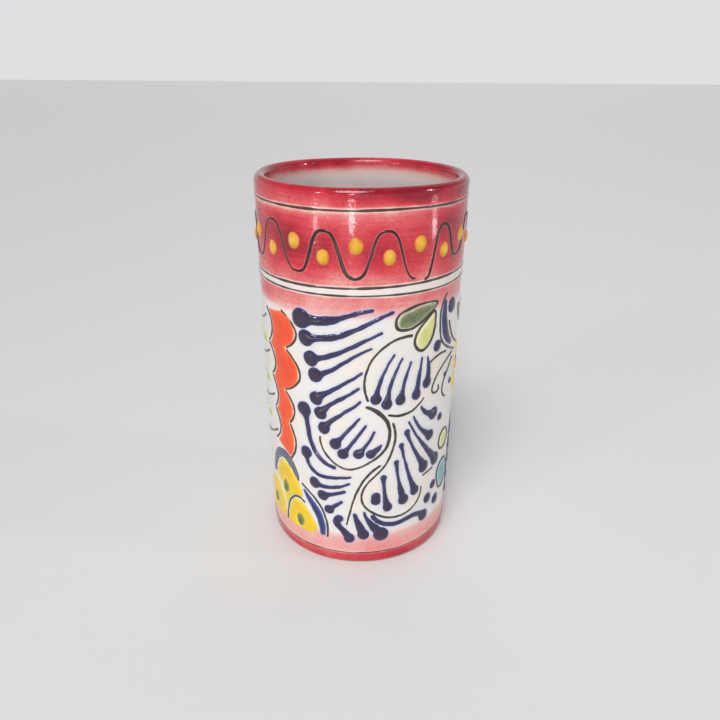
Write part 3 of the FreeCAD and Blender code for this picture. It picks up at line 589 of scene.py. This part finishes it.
def near(outlines, reach):
    """A distance in (s, z) to the nearest of the outlines, up to reach, for arrays of places."""
    dots = np.vstack([loop for loops in outlines for loop in loops])
    dots = np.vstack([dots, dots + (ROUND, 0), dots - (ROUND, 0)])
    dots = dots[np.abs(dots[:, 0]) < ROUND / 2 + SEAM_MARGIN]
    tree = KDTree(len(dots))
    for index, (s, z) in enumerate(dots):
        tree.insert((s, z, 0), index)
    tree.balance()

    def measured(s, z):
        gaps = [tree.find((a, b, 0))[2] for a, b in zip(s.ravel(), z.ravel())]
        return np.minimum(np.array(gaps), reach).reshape(s.shape)

    return measured


# The distance, in mm, beyond which a drawing no longer touches the glaze around it.
FAR = 9.0

# The hidden back of a coat of glaze has fewer rows where its profile is long.
LONG_PROFILE = 60
BACK_STEP = 40

# The bands stop wandering with the wall over this last stretch below the rim, in mm.
LIP_FADE = 4


def lip_wave(s):
    """How far the rim rises and falls round the mouth."""
    return 0.10 * np.sin(3 * s / MEAN_RADIUS + 1) + 0.06 * np.sin(5 * s / MEAN_RADIUS)


def pot_skin(name, profile, columns, nodes, cobalt=None, lines=None):
    """A closed coat of glaze turned about the axis; profile rows are (inset from the wall, z, level)."""
    inset, height, level = np.array(profile).T
    run = np.stack([np.gradient(-inset), np.gradient(height)], axis=1)
    run /= np.hypot(*run.T)[:, None]
    step = BACK_STEP if len(inset) > LONG_PROFILE else 1
    back_rows = np.arange(len(inset))[::-step]
    if back_rows[-1] != 0:
        back_rows = np.append(back_rows, 0)
    inset = np.append(inset, inset[back_rows] + COAT * run[back_rows, 1])
    height = np.append(height, height[back_rows] + COAT * run[back_rows, 0])
    level = np.append(level, level[back_rows])
    s = np.linspace(-ROUND / 2, ROUND / 2, columns, endpoint=False)[None, :] + np.zeros((len(inset), 1))
    z = height[:, None] + np.zeros((1, columns))
    z = z + lip_wave(s) * np.clip((z - RED_TOP) / (HEIGHT - RED_TOP), 0, 1) ** 2
    places = wall_places(s, z, -inset[:, None])
    outside = np.clip((HEIGHT - level) / LIP_FADE, 0, 1)[:, None]
    values = {"level": level[:, None] - drift(s, z) * outside}
    # The red's patches: partly uneven brushing, partly painted shade at the sides and a painted highlight
    # at the front.
    values["brushing_shade_highlight"] = brushing_shade_highlight(s, level[:, None])
    values["to_cobalt"] = cobalt(s, z) if cobalt else np.full(s.shape, FAR)
    values["to_line"] = lines(s, z) if lines else np.full(s.shape, FAR)
    faces = ring_faces(len(inset), columns)
    flat = {key: value.ravel() for key, value in values.items()}
    add_piece(name, places.reshape(-1, 3), faces, flat, glaze, nodes)


# Where the red is deeper or paler: partly brushed on thicker or thinner, partly painted shade that deepens
# it towards the sides and a painted highlight that pales it at the front. Each is (s, level, half width
# round, half height, change).
BRUSHING_SHADE_HIGHLIGHT = [
    (-56, 130, 17, 6, 0.24), (15, 175.6, 17, 3.6, 0.20), (-24, 173, 17, 4, -0.16), (56, 174, 22, 7, 0.16),
    (-70, 176, 24, 5, 0.10), (50, 163, 21, 8, 0.13), (47, 146, 18, 6, 0.15), (-46, 160, 15, 8, 0.12),
    (4, 165, 13, 5, -0.18), (30, 146, 16, 5, -0.12), (-24, 155, 14, 6, 0.12), (20, 153, 12, 5, 0.06),
    (-6, 143, 12, 4, -0.12), (100, 166, 22, 6, -0.15), (-110, 146, 22, 6, -0.12), (130, 176, 18, 5, -0.15),
]


def brushing_shade_highlight(s, level):
    """The change in strength of the red at (s, level): uneven brushing, painted shade towards the sides and
    a painted highlight at the front.
    """
    change = np.zeros(np.broadcast(s, level).shape)
    for middle, height, across, up, strength in BRUSHING_SHADE_HIGHLIGHT:
        off = (s - middle + ROUND / 2) % ROUND - ROUND / 2
        change += strength * np.exp(-(off / across) ** 4 - ((level - height) / up) ** 2)
    return change


def wall_rows(low, high, step):
    """Profile rows straight up the outside wall."""
    count = max(2, round((high - low) / step) + 1)
    return [(0.0, z, z) for z in np.linspace(low, high, count)]


# The rounded edge in which the glaze stops above the bare clay: where it starts, its height in mm, and how
# deep it is tucked in for that height.
HEEL_BOTTOM = GLAZE_BOTTOM - 0.5
HEEL_RISE = 1.1
HEEL_TUCK = 0.9


def foot_rows(top, step):
    """Rows of the foot band: the soft rounded edge of the glaze, then the wall above it."""
    rows = []
    for turn in np.linspace(0, math.pi / 2, 7):
        z = HEEL_BOTTOM + HEEL_RISE * (1 - math.cos(turn))
        rows.append((HEEL_RISE * (1 - math.sin(turn)) * HEEL_TUCK, z, z))
    return rows + wall_rows(HEEL_BOTTOM + HEEL_RISE + step, top, step)


def lip_rows(step):
    """Rows up the outside of the rim, over its round top and down the inside."""
    shoulder = HEIGHT - LIP_RISE
    rows = wall_rows(RED_TOP, shoulder - step, step)
    for turn in np.linspace(0, math.pi, 33):
        inset = LIP_ROUND * (1 - math.cos(turn))
        rise = LIP_RISE if turn < math.pi / 2 else LIP_ROUND
        z = HEIGHT - rise * (1 - math.sin(turn))
        rows.append((inset, z, z if turn < math.pi / 2 else 2 * HEIGHT - z))
    for z in np.arange(HEIGHT - LIP_ROUND - step, INSIDE_TOP, -step):
        rows.append((WALL, z, 2 * HEIGHT - z))
    rows.append((WALL, INSIDE_TOP, 2 * HEIGHT - INSIDE_TOP))
    return rows


# The inside floor stops this short of the axis, in mm, and faint throwing rings run round it.
FLOOR_GAP = 0.4
RING_HEIGHT = 0.12
RING_LENGTH = 2.2


def inside_rows(step):
    """Rows down the inside wall, round the corner and in to the middle of the floor."""
    bottom = FLOOR_TOP + FLOOR_CORNER
    rows = [(WALL, z, 2 * HEIGHT - z) for z in np.arange(INSIDE_TOP, bottom, -step)]
    for turn in np.linspace(0, math.pi / 2, 9):
        inset = WALL + FLOOR_CORNER * (1 - math.cos(turn))
        rows.append((inset, bottom - FLOOR_CORNER * math.sin(turn), FLOOR_LEVEL))
    reach = BASE_RADIUS + FLARE * FLOOR_TOP - FLOOR_GAP
    for inset in np.arange(WALL + FLOOR_CORNER + step, reach, step):
        ripple = RING_HEIGHT * math.sin(inset / RING_LENGTH) * (1 - inset / reach)
        rows.append((inset, FLOOR_TOP + ripple, FLOOR_LEVEL))
    return rows


# ---------------------------------------------------------------- turned and drawn lines


LINE_COLUMNS = 900
LINE_RISE = 0.2


def turned_line(name, level, shift, half):
    """A thin raised line all round the wall, of uneven width."""
    s = np.linspace(-ROUND / 2, ROUND / 2, LINE_COLUMNS, endpoint=False)
    a = s / MEAN_RADIUS
    middle = level + shift(a)
    width = half * (1 + 0.16 * np.sin(9 * a + level) + 0.10 * np.sin(23 * a) + 0.06 * np.sin(41 * a + 1))
    rows, rims, heights = [], [], []
    for share in (-1.0, -0.8, -0.45, 0.0, 0.45, 0.8, 1.0):
        rows.append(middle + share * width)
        heights.append(np.full(LINE_COLUMNS, LINE_RISE * (1 - share ** 2)))
        rims.append((1 - abs(share)) * width)
    for share in (0.7, -0.7):
        rows.append(middle + share * width)
        heights.append(np.full(LINE_COLUMNS, -BURIED))
        rims.append(np.zeros(LINE_COLUMNS))
    z = np.stack(rows)
    places = wall_places(np.tile(s, (len(rows), 1)), z, np.stack(heights))
    faces = ring_faces(len(rows), LINE_COLUMNS)
    add_piece(name + "_glaze", places.reshape(-1, 3), faces, {"rim": np.stack(rims).ravel()},
              materials["dark"], [name])


# Behind the pot the wave turns this many times, near these heights, a little out of true.
WAVE_HALVES = 14
WAVE_CREST = 161.8
WAVE_TROUGH = 144.6
WAVE_WANDER = 1.1


def wave_turns():
    """The (s, z) turning places of the wave, once round from the start of its stroke to its end."""
    start = [(26.9, 140.6), (36.4, 162.2), (47.2, 147.6)]
    finish = [(-53.5, 145.6), (-40.9, 163.0), (-26.6, 143.9), (-14.6, 161.7), (-2.2, 142.9), (10.2, 161.9),
              (23.3, 141.6)]
    finish = [(s + ROUND, z) for s, z in finish]
    step = (finish[0][0] - start[-1][0]) / WAVE_HALVES
    middle = []
    for number in range(1, WAVE_HALVES):
        level = WAVE_CREST if number % 2 == 1 else WAVE_TROUGH
        middle.append((start[-1][0] + step * number, level + WAVE_WANDER * math.sin(1.9 * number)))
    return start + middle + finish


# The wave's turns are drawn as this many steps each, slower at the turns by this share, and its outline has
# a corner every so many mm.
WAVE_STEPS = 40
WAVE_EASE = 0.08
WAVE_SPACING = 0.45


def wave_outline(half):
    """One closed outline round the whole wave, whose width swells and thins as the brush loads."""
    turns = wave_turns()
    places = []
    for (s1, z1), (s2, z2) in zip(turns, turns[1:]):
        for share in np.linspace(0, 1, WAVE_STEPS, endpoint=False):
            eased = share - WAVE_EASE * math.sin(2 * math.pi * share)
            places.append((s1 + (s2 - s1) * share, z1 + (z2 - z1) * (1 - math.cos(math.pi * eased)) / 2))
    places.append(turns[-1])
    middle = np.array(places)
    along = np.concatenate([[0], np.cumsum(np.hypot(*np.diff(middle, axis=0).T))])
    marks = np.arange(0, along[-1], WAVE_SPACING)
    middle = np.stack([np.interp(marks, along, values) for values in middle.T], axis=1)
    run = np.gradient(middle, axis=0)
    normal = np.stack([-run[:, 1], run[:, 0]], axis=1) / np.hypot(*run.T)[:, None]
    width = half * (1 + 0.22 * np.sin(marks / 17) + 0.12 * np.sin(marks / 5.3 + 1))
    ends = np.minimum(marks, marks[::-1])
    width *= np.clip(0.35 + ends / 1.2, 0, 1)
    side = normal * width[:, None]
    return np.vstack([middle - side, (middle + side)[::-1]])


# ---------------------------------------------------------------- pieces

# How raised work is formed, in mm: height, width of the shoulder, mesh spacing, roughness of the outline,
# and how far the enamel has run past the outline.
THICK = (0.85, 2.6, 0.42, 0.15, 0.12)
TRAILED = (0.75, 2.2, 0.40, 0.12, 0.10)
SOLID_BLUE = (0.60, 1.8, 0.45, 0.12, 0.06)
DRAWN = (0.32, 0.5, 0.30, 0.12, 0.12)
FILLED = (0.50, 1.2, 0.55, 0.14, 0.0)
LEAF = (0.40, 1.2, 0.50, 0.12, 0.0)
DOT = (1.15, 3.4, 0.38, 0.08, 0.0)
EYE = (0.75, 2.0, 0.45, 0.12, 0.0)
WAVE = (0.32, 0.55, 0.3, 0.05, 0.0)

# Half the width of the wave's brush stroke, in mm.
WAVE_HALF = 0.6

# Each raised drawing: its node, the enamel, its slot and its form.
ENAMELS = [
    ("long_feathers", "cobalt", "cobalt_enamel", THICK),
    ("inner_feathers", "cobalt", "cobalt_enamel", TRAILED),
    ("left_feathers", "cobalt", "cobalt_enamel", THICK),
    ("lower_feathers", "cobalt", "cobalt_enamel", TRAILED),
    ("upper_feathers", "cobalt", "cobalt_enamel", TRAILED),
    ("fern_feathers", "cobalt", "cobalt_enamel", TRAILED),
    ("cobalt_dots", "cobalt", "cobalt_enamel", THICK),
    ("blue_buds", "cobalt", "cobalt_enamel", SOLID_BLUE),
    ("blue_sepals", "sepal", "cobalt_enamel", SOLID_BLUE),
    ("blue_crescents", "royal", "cobalt_enamel", SOLID_BLUE),
    ("scale_borders", "grey_blue", "grey_blue_enamel", SOLID_BLUE),
    ("vine_lines", "dark", "dark_line", DRAWN),
    ("blossom_lines", "dark", "dark_line", DRAWN),
    ("leaf_rims", "dark", "dark_line", DRAWN),
    ("scallop_lines", "dark", "dark_line", DRAWN),
    ("lattice_lines", "dark", "dark_line", DRAWN),
    ("scale_lines", "dark", "dark_line", DRAWN),
    ("orange_petals", "orange", "orange_enamel", FILLED),
    ("yellow_scales", "yellow", "yellow_enamel", FILLED),
    ("scale_eyes", "eye", "dark_green_enamel", EYE),
    ("dark_leaves", "dark_green", "dark_green_enamel", LEAF),
    ("lime_leaves", "lime", "lime_enamel", LEAF),
    ("teal_leaves", "teal", "teal_enamel", LEAF),
    ("green_seeds", "seed", "lime_enamel", LEAF),
    ("yellow_dots", "yellow_dot", "yellow_enamel", DOT),
    ("blossom_petals", "yellow", "yellow_enamel", FILLED),
    ("blossom_heart", "orange", "orange_enamel", DOT),
]
drawn = {}
for number, (node, paint, slot, form) in enumerate(ENAMELS):
    drawn[node] = pillow(node + "_raised", drawn_shapes(node), form, materials[paint], [node], number)
drawn["wave_line"] = pillow("wave_line_raised", [[wave_outline(WAVE_HALF)]], WAVE, materials["wave"],
                            ["wave_line"], seed=90)
for node, (level, shift, half) in LINES.items():
    turned_line(node, level, shift, half)

cobalt_outlines = []
line_outlines = []
for node, paint, slot, form in ENAMELS:
    if paint in ("cobalt", "sepal", "royal"):
        cobalt_outlines += drawn[node]
    elif paint == "dark":
        line_outlines += drawn[node]
to_cobalt = near(cobalt_outlines, FAR)
to_line = near(line_outlines, FAR)
to_wave = near(drawn["wave_line"], FAR)

pot_skin("foot_band_glaze", foot_rows(FOOT_BAND_TOP, 0.6), 480, ["foot_band"])
pot_skin("lower_pink_glaze", wall_rows(FOOT_BAND_TOP, LOWER_PINK_TOP, 0.6), 480,
         ["lower_pink_band"], to_cobalt, to_line)
pot_skin("white_panel_glaze", wall_rows(LOWER_PINK_TOP, PANEL_TOP, 0.62), 470,
         ["white_panel"], to_cobalt, to_line)
pot_skin("upper_pink_glaze", wall_rows(PANEL_TOP, PINK_TOP, 0.6), 480,
         ["upper_pink_band"], to_cobalt, to_line)
pot_skin("cream_stripe_glaze", wall_rows(PINK_TOP, STRIPE_TOP, 0.5), 480, ["cream_stripe"])
pot_skin("red_band_glaze", wall_rows(STRIPE_TOP, RED_TOP, 0.4), 700,
         ["red_band"], lines=to_wave)
pot_skin("lip_glaze_coat", lip_rows(0.5), 480, ["lip_glaze"])
pot_skin("inside_glaze_coat", inside_rows(1.2), 360, ["inside_glaze"])

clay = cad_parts["clay_body"]
clay.data.materials.clear()
clay.data.materials.append(bare_clay())


# ---------------------------------------------------------------- stage, light and camera


# The floor reaches this far each way, in m.
REACH = 8.0
floor_corners = [(-REACH, -REACH, 0), (REACH, -REACH, 0), (REACH, REACH, 0), (-REACH, REACH, 0)]
floor_mesh = bpy.data.meshes.new("floor")
floor_mesh.from_pydata(floor_corners, [], [(0, 1, 2, 3)])
floor_paint = Paint("floor_paint", roughness=0.34, coat=0.0)
floor_paint.put(floor_paint.shader.inputs["Specular IOR Level"], 0.25)
floor_mesh.materials.append(floor_paint.finish(tone("#E2E2E2")))
floor = bpy.data.objects.new("floor", floor_mesh)
bpy.context.scene.collection.objects.link(floor)


def soft_light(name, place, target, width, height, power, spread=180):
    """A rectangular soft box aimed at a place, its light kept within a spread in degrees."""
    data = bpy.data.lights.new(name, "AREA")
    data.spread = math.radians(spread)
    data.shape = "RECTANGLE"
    data.size = width
    data.size_y = height
    data.energy = power
    lamp = bpy.data.objects.new(name, data)
    lamp.location = place
    lamp.rotation_mode = "QUATERNION"
    lamp.rotation_quaternion = (Vector(place) - Vector(target)).to_track_quat("Z", "Y")
    lamp.visible_camera = False
    bpy.context.scene.collection.objects.link(lamp)


def far_light(name, direction, spread, strength):
    """A soft light from far off, from the given direction."""
    data = bpy.data.lights.new(name, "SUN")
    data.energy = strength
    data.angle = math.radians(spread)
    lamp = bpy.data.objects.new(name, data)
    lamp.rotation_mode = "QUATERNION"
    lamp.rotation_quaternion = Vector(direction).to_track_quat("Z", "Y")
    bpy.context.scene.collection.objects.link(lamp)


# Small windows at these azimuths, with their brightness, leave the highlights on the glaze. Each has a
# fainter one below it, near the floor.
WINDOWS = ((-9, 1.3), (-47, 0.8), (80, 0.8))
WINDOW_AWAY = 1.2
LOW_WINDOW_AWAY = 0.62

middle = (0, 0, HEIGHT * MM / 2)
far_light("key", (-0.14, -0.56, 0.80), 30, 1.9)
far_light("behind", (0.10, 0.66, 0.74), 70, 0.45)
soft_light("fill", (0.05, -1.0, 0.35), middle, 0.6, 0.5, 0.5)
for number, (azimuth, power) in enumerate(WINDOWS):
    turn = math.radians(azimuth)
    across, ahead = math.sin(turn), -math.cos(turn)
    window = (WINDOW_AWAY * across, WINDOW_AWAY * ahead, 0.75)
    soft_light(f"window_{number}", window, middle, 0.06, 0.12, 1.6 * power)
    low_window = (LOW_WINDOW_AWAY * across, LOW_WINDOW_AWAY * ahead, 0.024)
    soft_light(f"low_window_{number}", low_window, middle, 0.055, 0.034, 0.0076 * power, spread=40)

# The studio is pale near the horizon and dimmer overhead.
world = bpy.data.worlds.new("studio")
world.use_nodes = True
nodes, links = world.node_tree.nodes, world.node_tree.links
direction = nodes.new("ShaderNodeSeparateXYZ")
links.new(nodes.new("ShaderNodeTexCoord").outputs["Generated"], direction.inputs[0])
fade = nodes.new("ShaderNodeMapRange")
fade.interpolation_type = "SMOOTHSTEP"
for socket, amount in (("From Min", 0.06), ("From Max", 0.50), ("To Min", 0.76), ("To Max", 0.15)):
    fade.inputs[socket].default_value = amount
links.new(direction.outputs["Z"], fade.inputs["Value"])
background = nodes["Background"]
background.inputs["Color"].default_value = (0.97, 0.98, 1.0, 1.0)
links.new(fade.outputs[0], background.inputs["Strength"])
bpy.context.scene.world = world
bpy.context.scene.view_settings.view_transform = "Standard"

CAMERA_PLACE = (0.0, -0.3056, 0.2219)
CAMERA_PITCH = math.radians(23.75)
CAMERA_ROLL = math.radians(0.42)
camera_data = bpy.data.cameras.new("camera")
camera_data.lens = 34.0
camera_data.sensor_width = 36.0
camera_data.clip_start = 0.01
camera = bpy.data.objects.new("camera", camera_data)
looking = Vector((0, math.cos(CAMERA_PITCH), -math.sin(CAMERA_PITCH)))
upward = Vector((0, math.sin(CAMERA_PITCH), math.cos(CAMERA_PITCH)))
across = Vector((1, 0, 0))
camera_x = across * math.cos(CAMERA_ROLL) + upward * math.sin(CAMERA_ROLL)
camera_y = upward * math.cos(CAMERA_ROLL) - across * math.sin(CAMERA_ROLL)
turned = Matrix((camera_x, camera_y, -looking)).transposed()
camera.matrix_world = Matrix.Translation(CAMERA_PLACE) @ turned.to_4x4()
bpy.context.scene.collection.objects.link(camera)
bpy.context.scene.camera = camera
